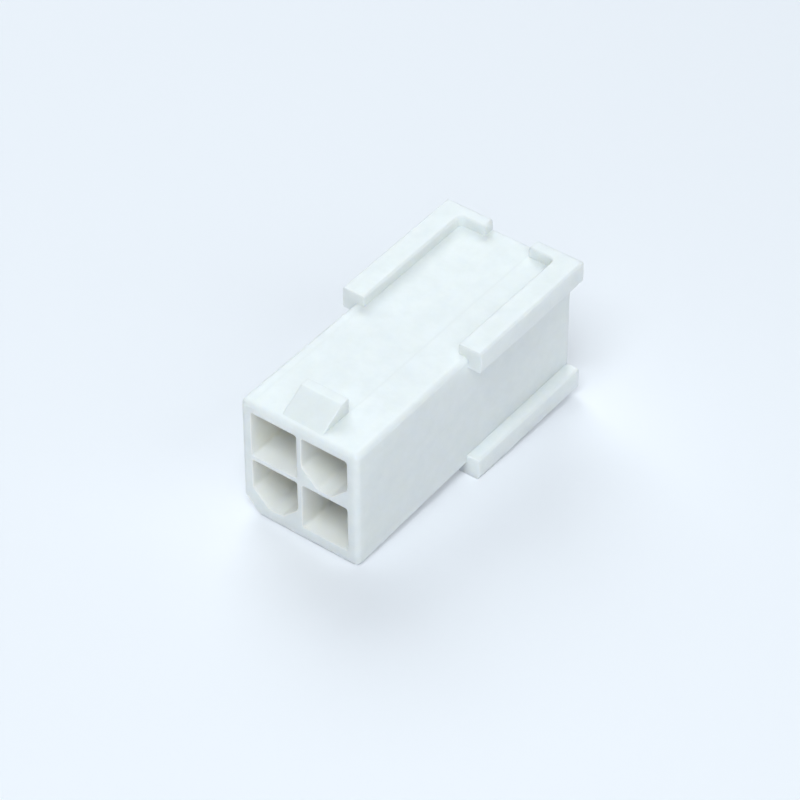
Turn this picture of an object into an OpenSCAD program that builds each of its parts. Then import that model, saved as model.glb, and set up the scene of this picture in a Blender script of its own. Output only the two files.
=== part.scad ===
// Plug housing for crimp contacts: two rows of keyed sockets on the mating side,
// one terminal chamber behind each socket on the wire side. Moulded in one piece.
// X runs across the circuits, Y from the mating face to the wire side, Z up.

/* [Circuits] */
// Distance between neighbouring circuits, along a row and from row to row
pitch = 4.2; // [4.2:0.05:4.6]
// Number of circuits in each of the two rows
columns = 2; // [2:1:6]

/* [Mating sockets] */
// Side of a square socket
socket = 3.78; // [3.4:0.02:3.8]
// Depth of the sockets from the mating face
socket_depth = 10.6; // [8:0.1:12]
// Corner cut that keys every other socket, on its two lower corners
key_cut = 1.3; // [0.8:0.1:1.6]

/* [Body] */
// Length from the mating face to the wire side
body_l = 24.3; // [23:0.1:28]
// Wall outside the first and the last socket of a row, at the mating face
side_wall = 0.89; // [0.7:0.01:1.2]
// Wall over the upper row
top_wall = 0.82; // [0.7:0.01:1.2]
// Wall under the lower row, at the mating face
bottom_wall = 1.16; // [0.8:0.02:1.4]
// Draft of each side: how far it stands further out at the mating face than at the rails
side_draft = 0.08; // [0:0.01:0.15]
// Draft of the underside: how much lower it lies at the mating face than at the rails
belly_draft = 0.2; // [0:0.01:0.3]
// Rounding of the long edges and of the edges around the mating face
edge_r = 0.4; // [0.16:0.01:0.5]
// Corner cut along the lower long edge beside the keyed corner socket
corner_cut = 1.3; // [0.8:0.1:1.6]

/* [Latch ramp] */
// Width of the ramp
ramp_w = 3.4; // [2.4:0.1:3.8]
// Distance from the mating face to the foot of the slope
ramp_start = 0.5; // [0.5:0.05:1.5]
// Length of the slope
ramp_run = 2.05; // [1.5:0.05:3]
// Length of the flat crest behind the slope
ramp_crest = 0.75; // [0.4:0.05:1.5]
// Height of the crest, which is also the height of the locking face
ramp_h = 1.17; // [0.8:0.01:1.5]

/* [Rails] */
// Length of the four rails, measured from the wire side
rail_l = 12; // [8:0.1:13]
// How far a rail stands out from the side wall
rail_out = 1.05; // [0.6:0.05:1.5]
// How far a rail stands proud of the top or the bottom face
rail_rise = 0.86; // [0.5:0.02:1.2]
// How far a rail laps over the side wall
rail_lap = 0.9; // [0.6:0.05:1.0]
// How far a rail laps over the top or the bottom face
rail_in = 0.84; // [0.6:0.01:1.0]
// Rounding of the long outer edges of a rail
rail_r = 0.2; // [0.1:0.05:0.4]
// How far the return at the end of each top rail reaches in from the side wall
return_reach = 2.95; // [1.5:0.05:3]
// Thickness of a return
return_t = 0.95; // [0.6:0.05:1.5]
// Fillet in the inner corner between a return and its rail
return_fillet = 0.45; // [0.2:0.05:0.5]

/* [Terminal chambers] */
// Side of a chamber
chamber = 3.4; // [3.1:0.05:3.5]
// Rounding of a chamber's long corners
chamber_r = 0.4; // [0.2:0.05:0.6]
// Depth of a chamber from the wire side to the shoulder
chamber_depth = 7; // [5:0.1:8]
// Lead-in chamfer around a chamber's mouth
lead_in = 0.25; // [0.1:0.05:0.3]
// Side of the narrow neck that the retaining tangs snap past
neck = 2.8; // [2.6:0.05:3]
// Length of the neck
neck_l = 1; // [0.6:0.1:1.4]
// Side of the pocket where the tangs open behind the neck
tang_pocket = 3.3; // [3.1:0.05:3.4]
// Thickness of the web between the pockets and the sockets
web_t = 1.6; // [1.2:0.1:2.4]
// Side of the hole in the web that a contact passes through
web_hole = 2.2; // [1.6:0.1:2.5]

/* [Hidden] */
$fn = 48;
rows = 2;
over = 1;
// The mating face is the largest section; the body behind it is smaller by the draft
face_w = (columns - 1) * pitch + socket + 2 * side_wall;
face_h = (rows - 1) * pitch + socket + bottom_wall + top_wall;
body_w = face_w - 2 * side_draft;
rail_front = body_l - rail_l;
// Circuits: middle of the first column, and middle of the lower row above the face's lower edge
first_x = -(columns - 1) * pitch / 2;
first_z = bottom_wall + socket / 2;
web_back = socket_depth + web_t;
neck_back = body_l - chamber_depth;
neck_front = neck_back - neck_l;

// Extrudes a section drawn in X and Z towards +Y, starting at y = from
module along_y(from, length)
    translate([0, from + length, 0]) rotate([90, 0, 0]) linear_extrude(length) children();

// Rectangle with round corners, centred on x and standing on y = 0
module soft_rect(w, h, r) {
    translate([-w / 2, r]) square([w, h - 2 * r]);
    translate([-w / 2 + r, 0]) square([w - 2 * r, h]);
    for (x = [r - w / 2, w / 2 - r], y = [r, h - r]) translate([x, y]) circle(r);
}

// Square centred on the origin with round corners
module soft_square(side, r) translate([0, -side / 2]) soft_rect(side, side, r);

// Places its children at every circuit, with the mating face in y = 0.
// $keyed is true at the sockets with cut corners: they alternate like a chessboard.
module at_circuits()
    for (column = [0 : columns - 1], row = [0 : rows - 1])
        translate([first_x + column * pitch, 0, first_z + row * pitch]) {
            $keyed = (column + row) % 2 == 0;
            children();
        }

// Square socket section, its two lower corners cut where keyed
module socket_section(keyed) {
    half = socket / 2;
    difference() {
        square(socket, center = true);
        if (keyed) for (side = [0, 1]) mirror([side, 0])
            translate([half, -half]) polygon([[-key_cut, 0], [over, -over], [0, key_cut]]);
    }
}

// Funnel that widens the chamber mouth by the lead-in on each side
module mouth() {
    half = chamber / 2;
    section = [[-half - lead_in, 0], [half + lead_in, 0], [half, -lead_in], [-half, -lead_in]];
    translate([0, body_l, 0]) intersection() {
        linear_extrude(pitch, center = true) polygon(section);
        rotate([0, 90, 0]) linear_extrude(pitch, center = true) polygon(section);
    }
}

// Everything that is open inside one circuit, from the mating face to the wire side
module circuit_bore(keyed) {
    along_y(-over, socket_depth + over) socket_section(keyed);
    along_y(socket_depth - over, web_t + 2 * over) square(web_hole, center = true);
    along_y(web_back, neck_front - web_back) soft_square(tang_pocket, chamber_r);
    along_y(neck_front - over, neck_l + 2 * over) soft_square(neck, chamber_r);
    along_y(neck_back, chamber_depth + over) soft_square(chamber, chamber_r);
    mouth();
}

// Outer block: its edges are round along its length and around the mating face,
// and its sides and underside draw in by the draft from the mating face to the rails
module block()
    intersection() {
        along_y(0, body_l) soft_rect(face_w, face_h, edge_r);
        linear_extrude(face_h) soft_rect(face_w, body_l + over, edge_r);
        rotate([90, 0, 90]) translate([(body_l + over) / 2, 0])
            linear_extrude(face_w, center = true) soft_rect(body_l + over, face_h, edge_r);
        linear_extrude(face_h)
            polygon([[-face_w / 2, 0], [face_w / 2, 0], [body_w / 2, rail_front], [body_w / 2, body_l],
                     [-body_w / 2, body_l], [-body_w / 2, rail_front]]);
        rotate([90, 0, 90]) linear_extrude(face_w, center = true)
            polygon([[0, 0], [rail_front, belly_draft], [body_l, belly_draft],
                     [body_l, face_h], [0, face_h]]);
    }

// Cut along the lower long edge beside the keyed corner socket, up to the rails
module long_edge_cut()
    along_y(-over, rail_front + over)
        translate([-face_w / 2, 0])
            polygon([[-over, -over], [corner_cut + over, -over], [-over, corner_cut + over]]);

// Wedge that a mating latch rides up and then hooks behind
module latch_ramp()
    translate([0, ramp_start, face_h]) rotate([90, 0, 90])
        linear_extrude(ramp_w, center = true)
            polygon([[0, -top_wall / 2], [0, 0], [ramp_run, ramp_h],
                     [ramp_run + ramp_crest, ramp_h], [ramp_run + ramp_crest, -top_wall / 2]]);

// One rail along the upper right long edge, lapping over the side wall and the top
module rail()
    along_y(rail_front, rail_l)
        translate([body_w / 2 + (rail_out - rail_in) / 2, face_h - rail_lap])
            soft_rect(rail_out + rail_in, rail_lap + rail_rise, rail_r);

// Return that closes the rear end of the upper right rail, with a fillet in the inner corner
module rail_return()
    translate([body_w / 2, body_l - return_t, face_h - top_wall / 2])
        linear_extrude(top_wall / 2 + rail_rise) {
            translate([-return_reach, 0]) square([return_reach, return_t]);
            translate([-rail_in - return_fillet, -return_fillet]) difference() {
                square([return_fillet + rail_in / 2, return_fillet + return_t / 2]);
                circle(return_fillet);
            }
        }

module housing()
    color("#e6eef0")
    translate([0, -body_l / 2, rail_rise - belly_draft])
    difference() {
        union() {
            difference() {
                block();
                long_edge_cut();
            }
            latch_ramp();
            for (side = [0, 1]) mirror([side, 0, 0]) {
                rail();
                rail_return();
                translate([0, 0, face_h + belly_draft]) mirror([0, 0, 1]) rail();
            }
        }
        at_circuits() circuit_bore($keyed);
    }

housing();
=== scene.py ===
# %% [markdown]
# # A plug housing for a wire to board connector
#
# The object is a small block of natural white nylon, moulded in one shot: two rows of keyed
# sockets on the mating side, a chamber for a crimped contact behind each socket, four rails
# along the rear half and a wedge that a latch snaps over. This lesson builds its looks on top
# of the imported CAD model. The new piece has to lie where the CAD model lies, so the first cell
# loads that model as a fixed frame and notes its box.

# %% Load the frame
import math

import bmesh
import bpy
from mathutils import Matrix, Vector


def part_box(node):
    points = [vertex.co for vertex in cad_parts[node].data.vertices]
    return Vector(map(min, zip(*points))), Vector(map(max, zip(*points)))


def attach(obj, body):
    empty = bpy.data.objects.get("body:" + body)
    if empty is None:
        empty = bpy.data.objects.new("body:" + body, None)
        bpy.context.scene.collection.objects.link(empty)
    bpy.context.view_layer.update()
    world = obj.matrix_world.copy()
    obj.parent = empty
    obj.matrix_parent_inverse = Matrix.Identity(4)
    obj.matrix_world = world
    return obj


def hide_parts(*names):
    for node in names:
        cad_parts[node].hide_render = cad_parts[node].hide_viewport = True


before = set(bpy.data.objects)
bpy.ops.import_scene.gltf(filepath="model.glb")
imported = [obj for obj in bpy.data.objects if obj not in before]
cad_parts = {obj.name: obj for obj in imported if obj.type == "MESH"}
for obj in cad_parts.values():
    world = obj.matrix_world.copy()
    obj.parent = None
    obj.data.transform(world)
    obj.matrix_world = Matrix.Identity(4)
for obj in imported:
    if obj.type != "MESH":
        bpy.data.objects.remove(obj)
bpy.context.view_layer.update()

# %% [markdown]
# ## Sizes
#
# The housing is only 24 mm long, and Blender's bevel and cutting tools have tolerances made for
# things metres across. So the piece is modelled with one unit to the millimetre, and a single
# scale at the end brings it to metres. The outer sizes are taken from the CAD box. The rest are
# the housing's own design values: its pitch, its sockets, its rails and its ramp. What lies deep
# in the bores follows the CAD model, which takes it from how such housings are usually made.

# %% The housing's sizes, in millimetres
MM = 0.001
low, high = (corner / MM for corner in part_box("housing"))

pitch = 4.2
socket, socket_depth, key_cut = 3.78, 10.6, 1.3
side_draft, belly_draft = 0.08, 0.2
corner_cut = 1.3
face_floor = 1.16
ramp_width, ramp_start, ramp_run, ramp_crest, ramp_height = 3.4, 0.5, 2.05, 0.75, 1.17
rail_length, rail_out, rail_rise, rail_lap, rail_in = 12.0, 1.05, 0.86, 0.9, 0.84
return_reach, return_thickness = 2.95, 0.95
chamber, chamber_depth, lead_in = 3.4, 7.0, 0.25
neck, neck_length, tang_pocket = 2.8, 1.0, 3.3
web_thickness, web_hole = 1.6, 2.2

front, rear = low.y, high.y
side = high.x - rail_out
top = high.z - ramp_height
belly = low.z + rail_rise
rails_from = rear - rail_length
face_side, face_low = side + side_draft, belly - belly_draft
column_x = (-pitch / 2, pitch / 2)
row_z = (face_low + face_floor + socket / 2, face_low + face_floor + socket / 2 + pitch)
print("mating face at y", round(front, 2), "side walls at x", round(side, 2))
print("top face at z", round(top, 2))

# %% [markdown]
# ## Tools for modelling by hand
#
# Hand modelling is a rhythm: pick some faces, cut them or pull them, pick the next ones. A
# script can't click, so it picks by place and direction instead. These helpers keep that
# rhythm short. Each pick starts from an empty selection, because an operator acts on all that
# is selected.

# %% Helpers that pick, cut and pull
NEAR = 0.001  # places closer than this, in millimetres, count as the same


def only(piece):
    """Leaves piece as the one selected and active object."""
    if bpy.context.mode != "OBJECT":
        bpy.ops.object.mode_set(mode="OBJECT")
    bpy.ops.object.select_all(action="DESELECT")
    piece.select_set(True)
    bpy.context.view_layer.objects.active = piece


def pick(kind, test):
    """In edit mode, selects the faces, edges or verts that pass test, and returns how many."""
    bpy.ops.mesh.select_mode(type={"faces": "FACE", "edges": "EDGE", "verts": "VERT"}[kind])
    bpy.ops.mesh.select_all(action="DESELECT")
    mesh = bpy.context.object.data
    shape = bmesh.from_edit_mesh(mesh)
    found = 0
    for part in getattr(shape, kind):
        if kind == "faces":
            passes = test(part.calc_center_median(), part.normal)
        elif kind == "edges":
            passes = test(part.verts[0].co, part.verts[1].co)
        else:
            passes = test(part.co)
        if passes:
            part.select_set(True)
            found += 1
    bmesh.update_edit_mesh(mesh)
    return found


def cut(point, normal):
    """Cuts the picked faces along a plane."""
    bpy.ops.mesh.bisect(plane_co=point, plane_no=normal, threshold=NEAR / 10)


def pull(x=0.0, y=0.0, z=0.0):
    """Extrudes the picked faces by that much."""
    bpy.ops.mesh.extrude_region_move(TRANSFORM_OT_translate={"value": (x, y, z)})


def move(x=0.0, y=0.0, z=0.0):
    """Moves what is picked."""
    bpy.ops.transform.translate(value=(x, y, z))


def widen(centre, x=1.0, z=1.0):
    """Scales what is picked across the housing, about a centre."""
    bpy.ops.transform.resize(value=(x, 1, z), center_override=centre)


def open_edges(piece):
    """How many edges of the mesh in edit mode don't join exactly two faces: 0 for a closed skin."""
    return sum(1 for e in bmesh.from_edit_mesh(piece.data).edges if len(e.link_faces) != 2)


# %% [markdown]
# ## The block
#
# A housing slides out of its mould easily if its long walls have draft, a slope of a degree
# or less. This one is widest at the mating face: its sides and its underside draw in up to where
# the rails begin, and run straight behind that. A cube is added at the size of the rear half, cut
# where the rails begin, and its front end is drawn out to the sides and downwards.

# %% A drafted block
bpy.ops.object.select_all(action="DESELECT")
bpy.ops.mesh.primitive_cube_add(
    size=1,
    location=(0, (front + rear) / 2, (top + belly) / 2),
    scale=(2 * side, rear - front, top - belly),
)
housing = bpy.context.object
housing.name = "nylon_housing"
bpy.ops.object.transform_apply(location=True, rotation=True, scale=True)
only(housing)
bpy.ops.object.mode_set(mode="EDIT")
bpy.ops.mesh.select_all(action="SELECT")
cut((0, rails_from, 0), (0, 1, 0))
pick("verts", lambda p: p.y < front + NEAR)
widen((0, front, 0), x=face_side / side)
pick("verts", lambda p: p.y < front + NEAR and p.z < belly)
move(z=-belly_draft)
print("block:", len(housing.data.vertices), "vertices before the cut, open edges:", open_edges(housing))

# %% [markdown]
# ## The cut corner
#
# One lower long edge is cut off in front of the rails, beside the cut corner of the keyed socket
# there, most likely to keep the nylon from getting thick between the two. The three faces that
# meet at its front end are cut along a sloping plane, the strip outside it is removed, and two
# new faces close the wound: the long slope, and the small triangle where the rails begin.

# %% Cut the lower left long edge
slope = corner_cut - face_side + face_low


def in_front(c):
    """True for a place in front of the rails."""
    return c.y < rails_from - NEAR


pick("faces", lambda c, n: in_front(c) and n.x < 0.5 and n.z < 0.5)
cut((slope, 0, 0), (1, 0, 1))
pick("faces", lambda c, n: in_front(c) and c.x + c.z < slope - NEAR)
bpy.ops.mesh.delete(type="ONLY_FACE")
pick("verts", lambda p: p.x < 0 and abs(p.x + p.z - slope) < NEAR)
bpy.ops.mesh.edge_face_add()
pick("verts", lambda p: abs(p.y - rails_from) < NEAR and p.x + p.z < slope + NEAR)
bpy.ops.mesh.edge_face_add()
bpy.ops.mesh.select_mode(type="EDGE")
bpy.ops.mesh.select_all(action="DESELECT")
bpy.ops.mesh.select_loose()
bpy.ops.mesh.delete(type="EDGE")
print("corner cut, open edges:", open_edges(housing))

# %% [markdown]
# ## Rails and returns
#
# Four rails wrap the long edges of the rear half, probably as guides in a panel or as a grip. The
# two upper ones turn inwards at the wire side. Strips are cut out of the top and the bottom face
# and pulled up and down, then the sides of those strips are pulled outwards, so that each rail
# wraps its edge as one skin with the block.

# %% Cut the strips and pull the rails
for x in (rail_in - side, side - rail_in):
    pick("faces", lambda c, n: c.y > rails_from and abs(n.z) > 0.9)
    cut((x, 0, 0), (1, 0, 0))
for z in (belly + rail_lap, top - rail_lap):
    pick("faces", lambda c, n: rails_from < c.y < rear - NEAR and abs(n.x) > 0.9)
    cut((0, 0, z), (0, 0, 1))
pick("faces", lambda c, n: c.y > rails_from and n.z > 0.9)
cut((0, rear - return_thickness, 0), (0, 1, 0))
for x in (return_reach - side, side - return_reach):
    pick(
        "faces",
        lambda c, n: c.y > rear - return_thickness and n.z > 0.9 and abs(c.x) < side - rail_in,
    )
    cut((x, 0, 0), (1, 0, 0))


def under_a_rail(c):
    """True for a strip of the top or the bottom face that a rail stands on."""
    return c.y > rails_from and abs(c.x) > side - rail_in


def under_a_return(c):
    """True for the part of the top face that a return stands on."""
    return c.y > rear - return_thickness and abs(c.x) > side - return_reach


upper = pick("faces", lambda c, n: n.z > 0.9 and (under_a_rail(c) or under_a_return(c)))
print("upper strips:", upper)
pull(z=rail_rise)
print("lower strips:", pick("faces", lambda c, n: n.z < -0.9 and under_a_rail(c)))
pull(z=-rail_rise)
for out in (-1, 1):
    pick(
        "faces",
        lambda c, n: n.x * out > 0.9 and c.y > rails_from and abs(c.x) > side - NEAR
        and not belly + rail_lap < c.z < top - rail_lap,
    )
    pull(x=out * rail_out)
print("rails pulled, open edges:", open_edges(housing))

# %% [markdown]
# ## The parting line of the rails
#
# The two halves of the mould are taken to meet halfway up the outer face of each rail. Each half
# has its own draft there, so the face is widest at that line and leans back by a few hundredths
# of a millimetre above and below it. It is just enough for the halves to catch the light apart.

# %% Draft both halves of the rails' outer faces
parting_draft = 0.04
rail_height = rail_rise + rail_lap
for z in (low.z + rail_height / 2, top + rail_rise - rail_height / 2):
    pick("faces", lambda c, n: abs(c.x) > high.x - NEAR and abs(c.z - z) < rail_height / 2)
    cut((0, 0, z), (0, 0, 1))
    leaned = pick(
        "verts",
        lambda p: abs(p.x) > high.x - NEAR and abs(abs(p.z - z) - rail_height / 2) < NEAR,
    )
    widen((0, 0, 0), x=(high.x - parting_draft) / high.x)
    print("points leaned back:", leaned)

# %% [markdown]
# ## The latch ramp
#
# The mating latch rides up a slope near the mating face and drops behind it. The ramp's foot is
# cut out of the top face and pulled up as a block. Then the block's front edge is pushed back
# down onto the top face and merged with it, which leaves the slope.

# %% Pull the ramp
for y in (ramp_start, ramp_start + ramp_run, ramp_start + ramp_run + ramp_crest):
    pick("faces", lambda c, n: n.z > 0.9 and in_front(c))
    cut((0, front + y, 0), (0, 1, 0))
for x in (-ramp_width / 2, ramp_width / 2):
    pick("faces", lambda c, n: n.z > 0.9 and in_front(c))
    cut((x, 0, 0), (1, 0, 0))
ramp_back = front + ramp_start + ramp_run + ramp_crest
pick(
    "faces",
    lambda c, n: n.z > 0.9 and abs(c.x) < ramp_width / 2 and front + ramp_start < c.y < ramp_back,
)
pull(z=ramp_height)
pick("verts", lambda p: p.z > top + NEAR and abs(p.y - front - ramp_start) < NEAR)
move(z=-ramp_height)
bpy.ops.mesh.select_all(action="SELECT")
bpy.ops.mesh.remove_doubles(threshold=NEAR / 10)
print("ramp crest at z", round(top + ramp_height, 2), "open edges:", open_edges(housing))

# %% [markdown]
# ## The mating sockets
#
# Each contact sits in a square socket. Every other socket, like the black squares of a
# chessboard, has its two lower corners cut, so that the plug fits its header one way only. The
# mating face is cut into a grid, the corners of the keyed squares are cut off, and what is left
# of each square is pushed in. The upright cuts come first. They leave a strip at either side,
# and the level cuts stay between those two strips, so that the block's side edges and its cut
# corner, which are rounded later, get no stray points. The floor of the socket gets a smaller
# square for the contact's tip to pass through.

# %% Push in the sockets
socket_floor = front + socket_depth


def at(c, x, z, half):
    """True for a place within half of a circuit's middle, across the housing."""
    return abs(c.x - x) < half and abs(c.z - z) < half


for x in column_x:
    for shift in (-socket / 2, socket / 2):
        pick("faces", lambda c, n: c.y < front + NEAR)
        cut((x + shift, 0, 0), (1, 0, 0))
for z in row_z:
    for shift in (-socket / 2, socket / 2):
        pick("faces", lambda c, n: c.y < front + NEAR and abs(c.x) < pitch)
        cut((0, 0, z + shift), (0, 0, 1))

for column, x in enumerate(column_x):
    for row, z in enumerate(row_z):
        if (column + row) % 2 == 0:
            for out in (-1, 1):
                pick("faces", lambda c, n: c.y < front + NEAR and at(c, x, z, socket / 2))
                cut((x + out * (socket / 2 - key_cut), 0, z - socket / 2), (out, 0, -1))
        pick("faces", lambda c, n: c.y < front + NEAR and at(c, x, z, socket / 2 - key_cut))
        pull(y=socket_depth)
        for shift in (-web_hole / 2, web_hole / 2):
            pick("faces", lambda c, n: abs(c.y - socket_floor) < NEAR and at(c, x, z, socket / 2))
            cut((x + shift, 0, 0), (1, 0, 0))
            pick("faces", lambda c, n: abs(c.y - socket_floor) < NEAR and at(c, x, z, socket / 2))
            cut((0, 0, z + shift), (0, 0, 1))
print("sockets pushed in:", len(column_x) * len(row_z), "open edges:", open_edges(housing))

# %% [markdown]
# ## The terminal chambers
#
# From the wire side each circuit is a chamber with a funnel at its mouth, a shoulder, a narrow
# neck that the contact's tangs snap past, and a wider pocket where they spring open again. The
# square is pushed in step by step, scaled where the bore changes size, and joined to the hole in
# the socket's floor with a bridge.

# %% Push in the chambers and join them to the sockets
mouth = chamber + 2 * lead_in
pocket_end = socket_floor + web_thickness


def on_wire_side(c):
    """True for the rear end of the block, without the rails."""
    return c.y > rear - NEAR and abs(c.x) < side + NEAR and belly - NEAR < c.z < top + NEAR


for x in column_x:
    for shift in (-mouth / 2, mouth / 2):
        pick("faces", lambda c, n: on_wire_side(c))
        cut((x + shift, 0, 0), (1, 0, 0))
for z in row_z:
    for shift in (-mouth / 2, mouth / 2):
        pick("faces", lambda c, n: on_wire_side(c) and abs(c.x) < pitch)
        cut((0, 0, z + shift), (0, 0, 1))

for x in column_x:
    for z in row_z:
        middle = (x, 0, z)
        pick("faces", lambda c, n: c.y > rear - NEAR and at(c, x, z, mouth / 2))
        pull(y=-lead_in)
        widen(middle, x=chamber / mouth, z=chamber / mouth)
        pull(y=lead_in - chamber_depth)
        bpy.ops.mesh.inset(thickness=(chamber - neck) / 2)
        pull(y=-neck_length)
        pull()
        widen(middle, x=tang_pocket / neck, z=tang_pocket / neck)
        pull(y=pocket_end - (rear - chamber_depth - neck_length))
        bpy.ops.mesh.inset(thickness=(tang_pocket - web_hole) / 2)
        pick(
            "faces",
            lambda c, n: at(c, x, z, web_hole / 4)
            and min(abs(c.y - socket_floor), abs(c.y - pocket_end)) < NEAR,
        )
        bpy.ops.mesh.bridge_edge_loops()
bpy.ops.mesh.select_all(action="SELECT")
bpy.ops.mesh.normals_make_consistent(inside=False)
print("chambers joined, open edges:", open_edges(housing))

# %% [markdown]
# ## Soft inner corners
#
# Three kinds of inner corner are rounded. The chambers and, a little less, the sockets get round
# long corners, as core pins leave them, and a small fillet fills the corner where a return leaves
# its rail. All are edges that run one way, so they are picked by their direction and bevelled in
# edit mode.

# %% Bevel the long corners of sockets and chambers and the returns' inner corners
socket_round, chamber_round, return_fillet = 0.18, 0.4, 0.45
CLOSE = 0.01  # room for the small errors that many cuts in a row add up to


def socket_corner(p, q):
    """True for a long corner edge of a socket."""
    whole = abs(p.y - q.y) > socket_depth - CLOSE
    return whole and p.y + q.y < 2 * front + socket_depth + CLOSE


def chamber_corner(p, q):
    """True for one of the four long corner edges of a chamber."""
    m = (p + q) / 2
    whole = abs(p.y - q.y) > chamber_depth - lead_in - CLOSE
    return whole and m.y > rear - chamber_depth and any(
        abs(abs(m.x - x) - chamber / 2) < CLOSE and abs(abs(m.z - z) - chamber / 2) < CLOSE
        for x in column_x
        for z in row_z
    )


def return_corner(p, q):
    """True for the upright inner corner between a return and its rail."""
    upright = abs(p.z - q.z) > rail_rise - NEAR and (p - q).xy.length < NEAR
    return upright and abs(p.y - rear + return_thickness) < NEAR and abs(abs(p.x) - side + rail_in) < NEAR


print("socket corners:", pick("edges", socket_corner))
bpy.ops.mesh.bevel(offset=socket_round, segments=3, affect="EDGES")
print("chamber corners:", pick("edges", chamber_corner))
bpy.ops.mesh.bevel(offset=chamber_round, segments=4, affect="EDGES")
print("return corners:", pick("edges", return_corner))
bpy.ops.mesh.bevel(offset=return_fillet, segments=4, affect="EDGES")
print("inner corners rounded, open edges:", open_edges(housing))

# %% [markdown]
# ## Rounded outer edges
#
# No moulded edge is knife sharp. The long edges of the block and the rim of the mating face have
# a radius of 0.4 mm, the rails half of that, and everything else only the wear of the mould. One
# Bevel modifier makes them all: each edge carries a weight, its share of the largest radius.
# Only edges that stick out get one. The modifier's overlap limit is off, because it would shrink
# every radius to suit the narrowest strip of faces. The radii were chosen so that no rounding
# runs into the next one.

# %% Give each outer edge its radius and bevel it
BLOCK_EDGE, RAIL_EDGE, SMALL_EDGE, MOUTH_EDGE = 0.4, 0.2, 0.08, 0.07
WALL = 0.5  # a little less than the thinnest outer wall
STICKS_OUT, STEEP = math.radians(20), math.radians(60)


def in_a_bore(c):
    """True for a face inside a socket or a chamber."""
    between_walls = abs(c.x) < side - WALL and belly + WALL < c.z < top - WALL
    return between_walls and front + NEAR < c.y < rear - NEAR


def edge_radius(edge):
    """The radius of one edge, in millimetres, from where it lies."""
    turn = edge.calc_face_angle_signed(0) if len(edge.link_faces) == 2 else 0
    if turn < STICKS_OUT:
        return 0.0
    p, q = (v.co for v in edge.verts)
    m = (p + q) / 2
    inner = [in_a_bore(face.calc_center_median()) for face in edge.link_faces]
    if all(inner):
        return 0.0
    if any(inner):
        return MOUTH_EDGE if m.y < 0 else 0.0
    lengthwise = abs(p.y - q.y) > 0.99 * (p - q).length
    if in_front(m) and lengthwise and turn < STEEP:
        return RAIL_EDGE
    on_the_block = in_front(m) and m.z < top + NEAR and abs(m.x) > ramp_width
    if m.y < front + NEAR or (lengthwise and on_the_block):
        return BLOCK_EDGE
    on_the_rails = m.z > top + rail_rise - NEAR and rails_from + NEAR < m.y < rear - NEAR
    if on_the_rails or (lengthwise and abs(m.x) > side + NEAR):
        return RAIL_EDGE
    return SMALL_EDGE


shape = bmesh.from_edit_mesh(housing.data)
weight = shape.edges.layers.float.new("bevel_weight_edge")
counts = {}
for edge in shape.edges:
    radius = edge_radius(edge)
    edge[weight] = radius / BLOCK_EDGE
    counts[radius] = counts.get(radius, 0) + 1
bmesh.update_edit_mesh(housing.data)
bpy.ops.object.mode_set(mode="OBJECT")
print("edges by radius:", dict(sorted(counts.items())))

rounding = housing.modifiers.new("rounding", "BEVEL")
rounding.limit_method = "WEIGHT"
rounding.width = BLOCK_EDGE
rounding.segments = 4
rounding.use_clamp_overlap = False
bpy.ops.object.modifier_apply(modifier=rounding.name)
print("after rounding:", len(housing.data.vertices), "vertices,", len(housing.data.polygons), "faces")

# %% [markdown]
# ## Smooth edges beside flat walls
#
# The rounded strips should shade as curves and the walls beside them as flats. Shading smooth by
# angle joins the strips, and a Weighted Normal modifier then lets the large faces decide, so
# that no wall shows a false bulge. After that the piece is brought from millimetres to metres.

# %% Shade, then scale to metres
only(housing)
bpy.ops.object.shade_smooth_by_angle(angle=math.radians(30))
flats = housing.modifiers.new("flats", "WEIGHTED_NORMAL")
flats.keep_sharp = True
bpy.ops.object.modifier_apply(modifier=flats.name)
housing.scale = (MM, MM, MM)
bpy.ops.object.transform_apply(location=True, rotation=True, scale=True)
print("housing in mm:", [round(d / MM, 2) for d in housing.dimensions])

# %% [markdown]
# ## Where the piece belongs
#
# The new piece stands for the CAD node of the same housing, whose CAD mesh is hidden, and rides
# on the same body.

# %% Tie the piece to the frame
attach(housing, "root")
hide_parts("housing")

# %% [markdown]
# ## Node groups for moulded nylon
#
# Two effects are shared by all the nylon's materials. The grain is the very fine unevenness that
# a spark-eroded mould leaves, with some broader waviness such as shrinking plastic has. The
# mottle is a faint, cloudy change of shade and gloss. Both read Object coordinates, so they stay
# put on the piece, and both are groups, so that each material sets its own values. A Mix node
# has sockets of the same name for numbers and for colours, so those are called by their place.


# %% Helpers for groups and nodes, and the two groups
MIX_SHARE, NUMBER_A, NUMBER_B, COLOUR_A, COLOUR_B = 0, 2, 3, 6, 7
MIXED_NUMBER, MIXED_COLOUR = 0, 2


def new_group(name, inputs, outputs):
    """A shader node group with named number or colour sockets."""
    group = bpy.data.node_groups.new(name, "ShaderNodeTree")
    for direction, sockets in (("INPUT", inputs), ("OUTPUT", outputs)):
        for label, kind in sockets:
            group.interface.new_socket(name=label, in_out=direction, socket_type="NodeSocket" + kind)
    return group, group.nodes.new("NodeGroupInput"), group.nodes.new("NodeGroupOutput")


def node(tree, kind, **values):
    """A node with its settings and input values given by name."""
    made = tree.nodes.new("ShaderNode" + kind)
    for label, value in values.items():
        if label in made.inputs:
            made.inputs[label].default_value = value
        else:
            setattr(made, label, value)
    return made


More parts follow.
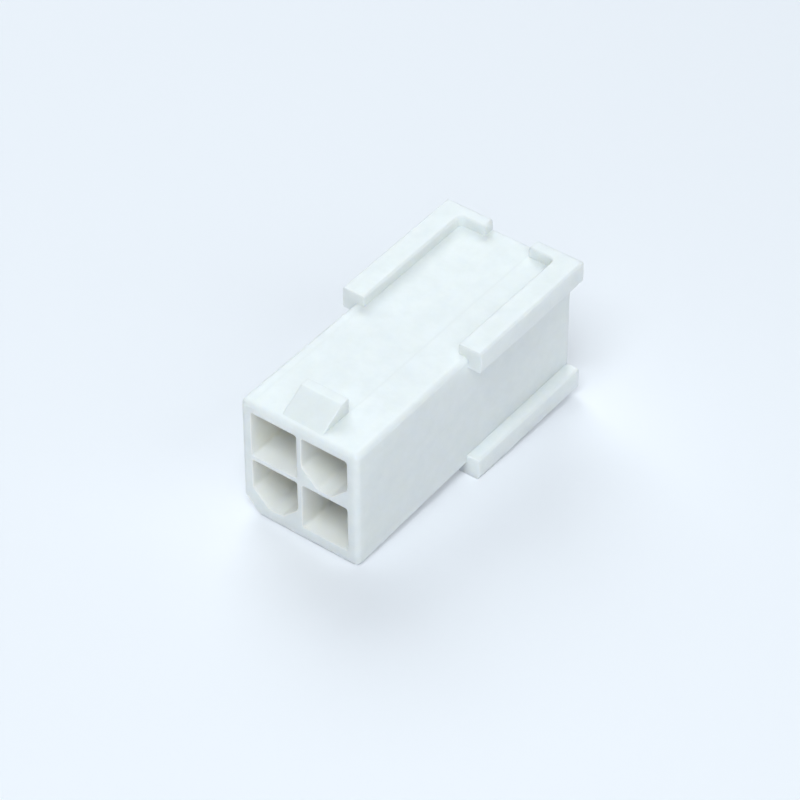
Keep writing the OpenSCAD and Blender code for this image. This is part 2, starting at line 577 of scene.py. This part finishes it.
grain, grain_in, grain_out = new_group(
    "mould_grain",
    [("Place", "Vector"), ("Fine scale", "Float"), ("Wave share", "Float")],
    [("Height", "Float")],
)
fine = node(grain, "TexNoise", Detail=3.0, Roughness=0.6)
broad = node(grain, "TexNoise", Scale=420.0, Detail=1.0)
both = node(grain, "Mix", data_type="FLOAT")
grain.links.new(grain_in.outputs["Place"], fine.inputs["Vector"])
grain.links.new(grain_in.outputs["Fine scale"], fine.inputs["Scale"])
grain.links.new(grain_in.outputs["Place"], broad.inputs["Vector"])
grain.links.new(grain_in.outputs["Wave share"], both.inputs[MIX_SHARE])
grain.links.new(fine.outputs[0], both.inputs[NUMBER_A])
grain.links.new(broad.outputs[0], both.inputs[NUMBER_B])
grain.links.new(both.outputs[MIXED_NUMBER], grain_out.inputs["Height"])

mottle, mottle_in, mottle_out = new_group(
    "nylon_mottle",
    [("Place", "Vector"), ("Light", "Color"), ("Shade", "Color"), ("Gloss", "Float"), ("Matt", "Float")],
    [("Color", "Color"), ("Roughness", "Float")],
)
cloud = node(mottle, "TexNoise", Scale=900.0, Detail=5.0, Roughness=0.7)
spread = node(mottle, "MapRange")
spread.inputs["From Min"].default_value = 0.35
spread.inputs["From Max"].default_value = 0.65
tint = node(mottle, "Mix", data_type="RGBA")
gloss = node(mottle, "Mix", data_type="FLOAT")
mottle.links.new(mottle_in.outputs["Place"], cloud.inputs["Vector"])
mottle.links.new(cloud.outputs[0], spread.inputs["Value"])
mottle.links.new(spread.outputs[0], tint.inputs[MIX_SHARE])
mottle.links.new(mottle_in.outputs["Light"], tint.inputs[COLOUR_A])
mottle.links.new(mottle_in.outputs["Shade"], tint.inputs[COLOUR_B])
mottle.links.new(spread.outputs[0], gloss.inputs[MIX_SHARE])
mottle.links.new(mottle_in.outputs["Gloss"], gloss.inputs[NUMBER_A])
mottle.links.new(mottle_in.outputs["Matt"], gloss.inputs[NUMBER_B])
mottle.links.new(tint.outputs[MIXED_COLOUR], mottle_out.inputs["Color"])
mottle.links.new(gloss.outputs[MIXED_NUMBER], mottle_out.inputs["Roughness"])
print("node groups:", [g.name for g in (grain, mottle)])

# %% [markdown]
# ## Witness lines
#
# Where two inserts of a mould meet, the part keeps a hair-thin line. On this housing two faint
# lines run along the top face, most likely of that kind: one behind the ramp, in line with its
# right side, and one beside the left rail. The group takes how far along x the line lies and how
# wide it is, and gives its trace: 1 on the line and 0 away from it. The nylon uses the trace as a
# shallow groove, and also darkens its colour along the line: painted shade of that groove. Along
# the rails the left line lies at the foot of the left rail, so there its painted shade darkens
# the rail's foot.

# %% The witness line group
witness, witness_in, witness_out = new_group(
    "witness_line", [("Place", "Vector"), ("At", "Float"), ("Width", "Float")], [("Trace", "Float")]
)
axes = node(witness, "SeparateXYZ")
gap = node(witness, "Math", operation="SUBTRACT")
away = node(witness, "Math", operation="ABSOLUTE")
trace = node(witness, "MapRange", interpolation_type="SMOOTHSTEP")
trace.inputs["From Min"].default_value = 0.0
trace.inputs["To Min"].default_value = 1.0
trace.inputs["To Max"].default_value = 0.0
witness.links.new(witness_in.outputs["Place"], axes.inputs[0])
witness.links.new(axes.outputs["X"], gap.inputs[0])
witness.links.new(witness_in.outputs["At"], gap.inputs[1])
witness.links.new(gap.outputs[0], away.inputs[0])
witness.links.new(away.outputs[0], trace.inputs["Value"])
witness.links.new(witness_in.outputs["Width"], trace.inputs["From Max"])
witness.links.new(trace.outputs[0], witness_out.inputs["Trace"])
print("witness line group:", [s.name for s in witness.interface.items_tree])

# %% [markdown]
# ## The nylon
#
# Natural nylon is translucent. Light that falls on the top face comes out again just round the
# edge, which softens every edge more than its radius does. So the material has real subsurface
# scattering, over 0.7 mm, a depth chosen by trial. There are three materials. The outside is one,
# and the top face is the same with its witness lines added. The faces inside the sockets and the
# chambers are made smoother, and lighter and warmer in colour. That colour is painted light: it
# stands in for the light that the thin translucent walls let into the bores. It is the same
# plastic: that colour is no measured one, it was tuned so that the depth of the sockets looks
# less dark. The upper two are still darker than they are in the real housing.

# %% The nylon's three materials
SCATTER_DEPTH = 0.7
WAVE_SHARE = 0.35
LINE_WIDTH, LINE_DEPTH = 0.16, 0.01


def nylon(name, light, shade, glossy, matt, fine_scale, grain_depth, lines):
    """One material of the nylon. lines are its witness lines: where along x, and how much painted shade
    darkens the colour along each.
    """
    material = bpy.data.materials.new(name)
    material.use_nodes = True
    tree = material.node_tree
    skin = tree.nodes["Principled BSDF"]
    skin.inputs["IOR"].default_value = 1.53
    skin.inputs["Subsurface Weight"].default_value = 1.0
    skin.inputs["Subsurface Radius"].default_value = (1.0, 0.95, 0.85)
    skin.inputs["Subsurface Scale"].default_value = SCATTER_DEPTH * MM
    place = node(tree, "TexCoord")
    clouds = node(tree, "Group", node_tree=mottle, Light=light, Shade=shade, Gloss=glossy, Matt=matt)
    tree.links.new(place.outputs["Object"], clouds.inputs["Place"])
    colour = clouds.outputs["Color"]
    tree.links.new(clouds.outputs["Roughness"], skin.inputs["Roughness"])
    texture = node(tree, "Group", node_tree=grain)
    texture.inputs["Fine scale"].default_value = fine_scale
    texture.inputs["Wave share"].default_value = WAVE_SHARE
    tree.links.new(place.outputs["Object"], texture.inputs["Place"])
    bump = node(tree, "Bump", Strength=1.0, Distance=grain_depth * MM)
    tree.links.new(texture.outputs["Height"], bump.inputs["Height"])
    last = bump
    for at_x, painted_shade in lines:
        line = node(tree, "Group", node_tree=witness, At=at_x * MM, Width=LINE_WIDTH * MM)
        tree.links.new(place.outputs["Object"], line.inputs["Place"])
        groove = node(tree, "Bump", Strength=1.0, Distance=LINE_DEPTH * MM, invert=True)
        tree.links.new(line.outputs["Trace"], groove.inputs["Height"])
        tree.links.new(last.outputs["Normal"], groove.inputs["Normal"])
        last = groove
        # painted shade: the base colour is made darker along the witness line, standing in for the shade
        # in its groove
        painted_line_shade = node(tree, "Mix", data_type="RGBA")
        painted_line_shade.inputs[COLOUR_B].default_value = (*(c * (1 - painted_shade) for c in light[:3]), 1)
        tree.links.new(line.outputs["Trace"], painted_line_shade.inputs[MIX_SHARE])
        tree.links.new(colour, painted_line_shade.inputs[COLOUR_A])
        colour = painted_line_shade.outputs[MIXED_COLOUR]
    tree.links.new(colour, skin.inputs["Base Color"])
    tree.links.new(last.outputs["Normal"], skin.inputs["Normal"])
    return material


WHITE, WHITE_SHADE = (0.873, 0.9, 0.892, 1), (0.843, 0.87, 0.862, 1)
# painted light: the bores' base colour is lighter and warmer than the outside's, standing in for the
# light that comes through the thin translucent walls into the sockets and chambers
BORE_PAINTED_LIGHT, BORE_PAINTED_LIGHT_DARKER = (0.975, 0.97, 0.9, 1), (0.96, 0.955, 0.88, 1)
MOULDED = {"glossy": 0.42, "matt": 0.55, "fine_scale": 9000.0, "grain_depth": 0.01}
CORE_PIN = {"glossy": 0.35, "matt": 0.45, "fine_scale": 6000.0, "grain_depth": 0.003}
# where along x each witness line lies, in mm, and how much its painted shade darkens the base colour
TOP_LINES = ((1.76, 0.045), (-3.98, 0.03))
outside = nylon("natural_nylon", WHITE, WHITE_SHADE, lines=(), **MOULDED)
top_skin = nylon("natural_nylon_top", WHITE, WHITE_SHADE, lines=TOP_LINES, **MOULDED)
inside = nylon("natural_nylon_bores_painted_light", BORE_PAINTED_LIGHT, BORE_PAINTED_LIGHT_DARKER, lines=(), **CORE_PIN)
for material in (outside, top_skin, inside):
    housing.data.materials.append(material)
shares = [0, 0, 0]
for face in housing.data.polygons:
    centre = face.center / MM
    if in_a_bore(centre):
        face.material_index = 2
    elif face.normal.z > 0.99 and abs(centre.z - top) < NEAR:
        face.material_index = 1
    else:
        face.material_index = 0
    shares[face.material_index] += 1
print("faces outside, on top and in the bores:", shares)

# %% [markdown]
# ## The floor
#
# The housing is posed tipped forward: it touches the floor with the lower edge of its mating
# face and with the front ends of its lower rails. Left alone on a table this model would lie
# flat on its lower rails, because its centre of mass is just behind their front ends, so the
# tilt is a pose for the view. The piece keeps its place in the CAD frame, and the floor is
# turned by that small angle instead. It is pale and plain. For the camera and in reflections it
# is a shade lighter than it is for the light, which keeps the background pale while the shadow
# stays.

# %% A pale floor, tipped to meet the two edges that touch it
FLOOR_SIZE = 3.0
OWN_LIGHT = 0.15  # the floor's own light as a share of what the camera sees
tip = math.atan2(face_low - low.z, rails_from - front)
bpy.ops.object.select_all(action="DESELECT")
bpy.ops.mesh.primitive_plane_add(
    size=FLOOR_SIZE, location=(0, rails_from * MM, low.z * MM), rotation=(-tip, 0, 0)
)
floor = bpy.context.object
floor.name = "floor"
paper = bpy.data.materials.new("pale_paper")
paper.use_nodes = True
tree = paper.node_tree
sheet = tree.nodes["Principled BSDF"]
sheet.inputs["Base Color"].default_value = (0.93, 0.93, 0.96, 1)
sheet.inputs["Roughness"].default_value = 0.9
sheet.inputs["Specular IOR Level"].default_value = 0.1
backdrop = node(tree, "Emission", Color=(0.91, 1.0, 1.09, 1), Strength=1.0)
ray = node(tree, "LightPath")
seen_by = node(tree, "Math", operation="MAXIMUM")
part_of = node(tree, "Math", operation="MULTIPLY")
part_of.inputs[1].default_value = OWN_LIGHT
blend = node(tree, "MixShader")
tree.links.new(ray.outputs["Is Camera Ray"], seen_by.inputs[0])
tree.links.new(ray.outputs["Is Glossy Ray"], seen_by.inputs[1])
tree.links.new(seen_by.outputs[0], part_of.inputs[0])
tree.links.new(part_of.outputs[0], blend.inputs[0])
tree.links.new(sheet.outputs[0], blend.inputs[1])
tree.links.new(backdrop.outputs[0], blend.inputs[2])
tree.links.new(blend.outputs[0], tree.nodes["Material Output"].inputs["Surface"])
floor.data.materials.append(paper)
print("floor tipped by", round(math.degrees(tip), 2), "degrees")

# %% [markdown]
# ## Soft light
#
# Four softboxes are enough for so small a part. The key stands high in front and is the
# smallest, so that the light ends softly but clearly a little way into each socket. A wider one
# behind and to the left lights the top face at a slant, and two weaker ones lift the mating face
# and the side. None of them is low, because a low lamp would wash out the dark line under the
# housing. The world fills what is left. The powers and the slightly cold tint were fitted to the
# wanted brightness and then trimmed by trial. The lamps don't show themselves to the camera, so
# that no view of the part has a bright square behind it.

# %% Softboxes round the part, and the world
LAMP_COLOR = (0.925, 1.0, 1.045)
WORLD_LIGHT = 0.08


def softbox(name, power, size, azimuth, elevation, distance=0.45):
    """A square soft lamp in that direction, in degrees: azimuth 0 is in front, 90 is right."""
    turn, lift = math.radians(azimuth), math.radians(elevation)
    level = math.cos(lift)
    towards = Vector((math.sin(turn) * level, -math.cos(turn) * level, math.sin(lift)))
    bpy.ops.object.select_all(action="DESELECT")
    bpy.ops.object.light_add(type="AREA", location=towards * distance)
    lamp = bpy.context.object
    lamp.name = name
    lamp.data.size = size
    lamp.data.energy = power
    lamp.data.color = LAMP_COLOR
    lamp.rotation_mode = "QUATERNION"
    lamp.rotation_quaternion = (-towards).to_track_quat("-Z", "Y")
    lamp.visible_camera = False


softbox("key", 1.01, 0.2, 22, 62)
softbox("front_right", 0.29, 0.3, 45, 38)
softbox("back_left", 0.98, 0.3, 230, 42)
softbox("right", 0.38, 0.3, 90, 36)
world = bpy.data.worlds.new("studio")
bpy.context.scene.world = world
world.use_nodes = True
sky = world.node_tree.nodes["Background"]
sky.inputs["Color"].default_value = (*LAMP_COLOR, 1)
sky.inputs["Strength"].default_value = WORLD_LIGHT

# %% [markdown]
# ## The camera
#
# It looks down at the housing from in front and to the right, with a long lens close by, as for a
# picture in a parts catalogue. Its place follows from a direction and a distance.

# %% The camera
azimuth, elevation, distance = math.radians(36.98), math.radians(42.05), 235.4 * MM
target = Vector((-0.06, -0.99, 5.05)) * MM
level = math.cos(elevation)
back = Vector((math.sin(azimuth) * level, -math.cos(azimuth) * level, math.sin(elevation)))
bpy.ops.object.camera_add(location=target + back * distance)
camera = bpy.context.object
camera.name = "catalogue_camera"
camera.rotation_mode = "QUATERNION"
camera.rotation_quaternion = (-back).to_track_quat("-Z", "Y")
camera.data.lens = 155.3
camera.data.clip_start = 0.01
camera.data.clip_end = 10.0
bpy.context.scene.camera = camera
bpy.context.scene.view_settings.view_transform = "Standard"
print("camera at", [round(x, 4) for x in camera.location])
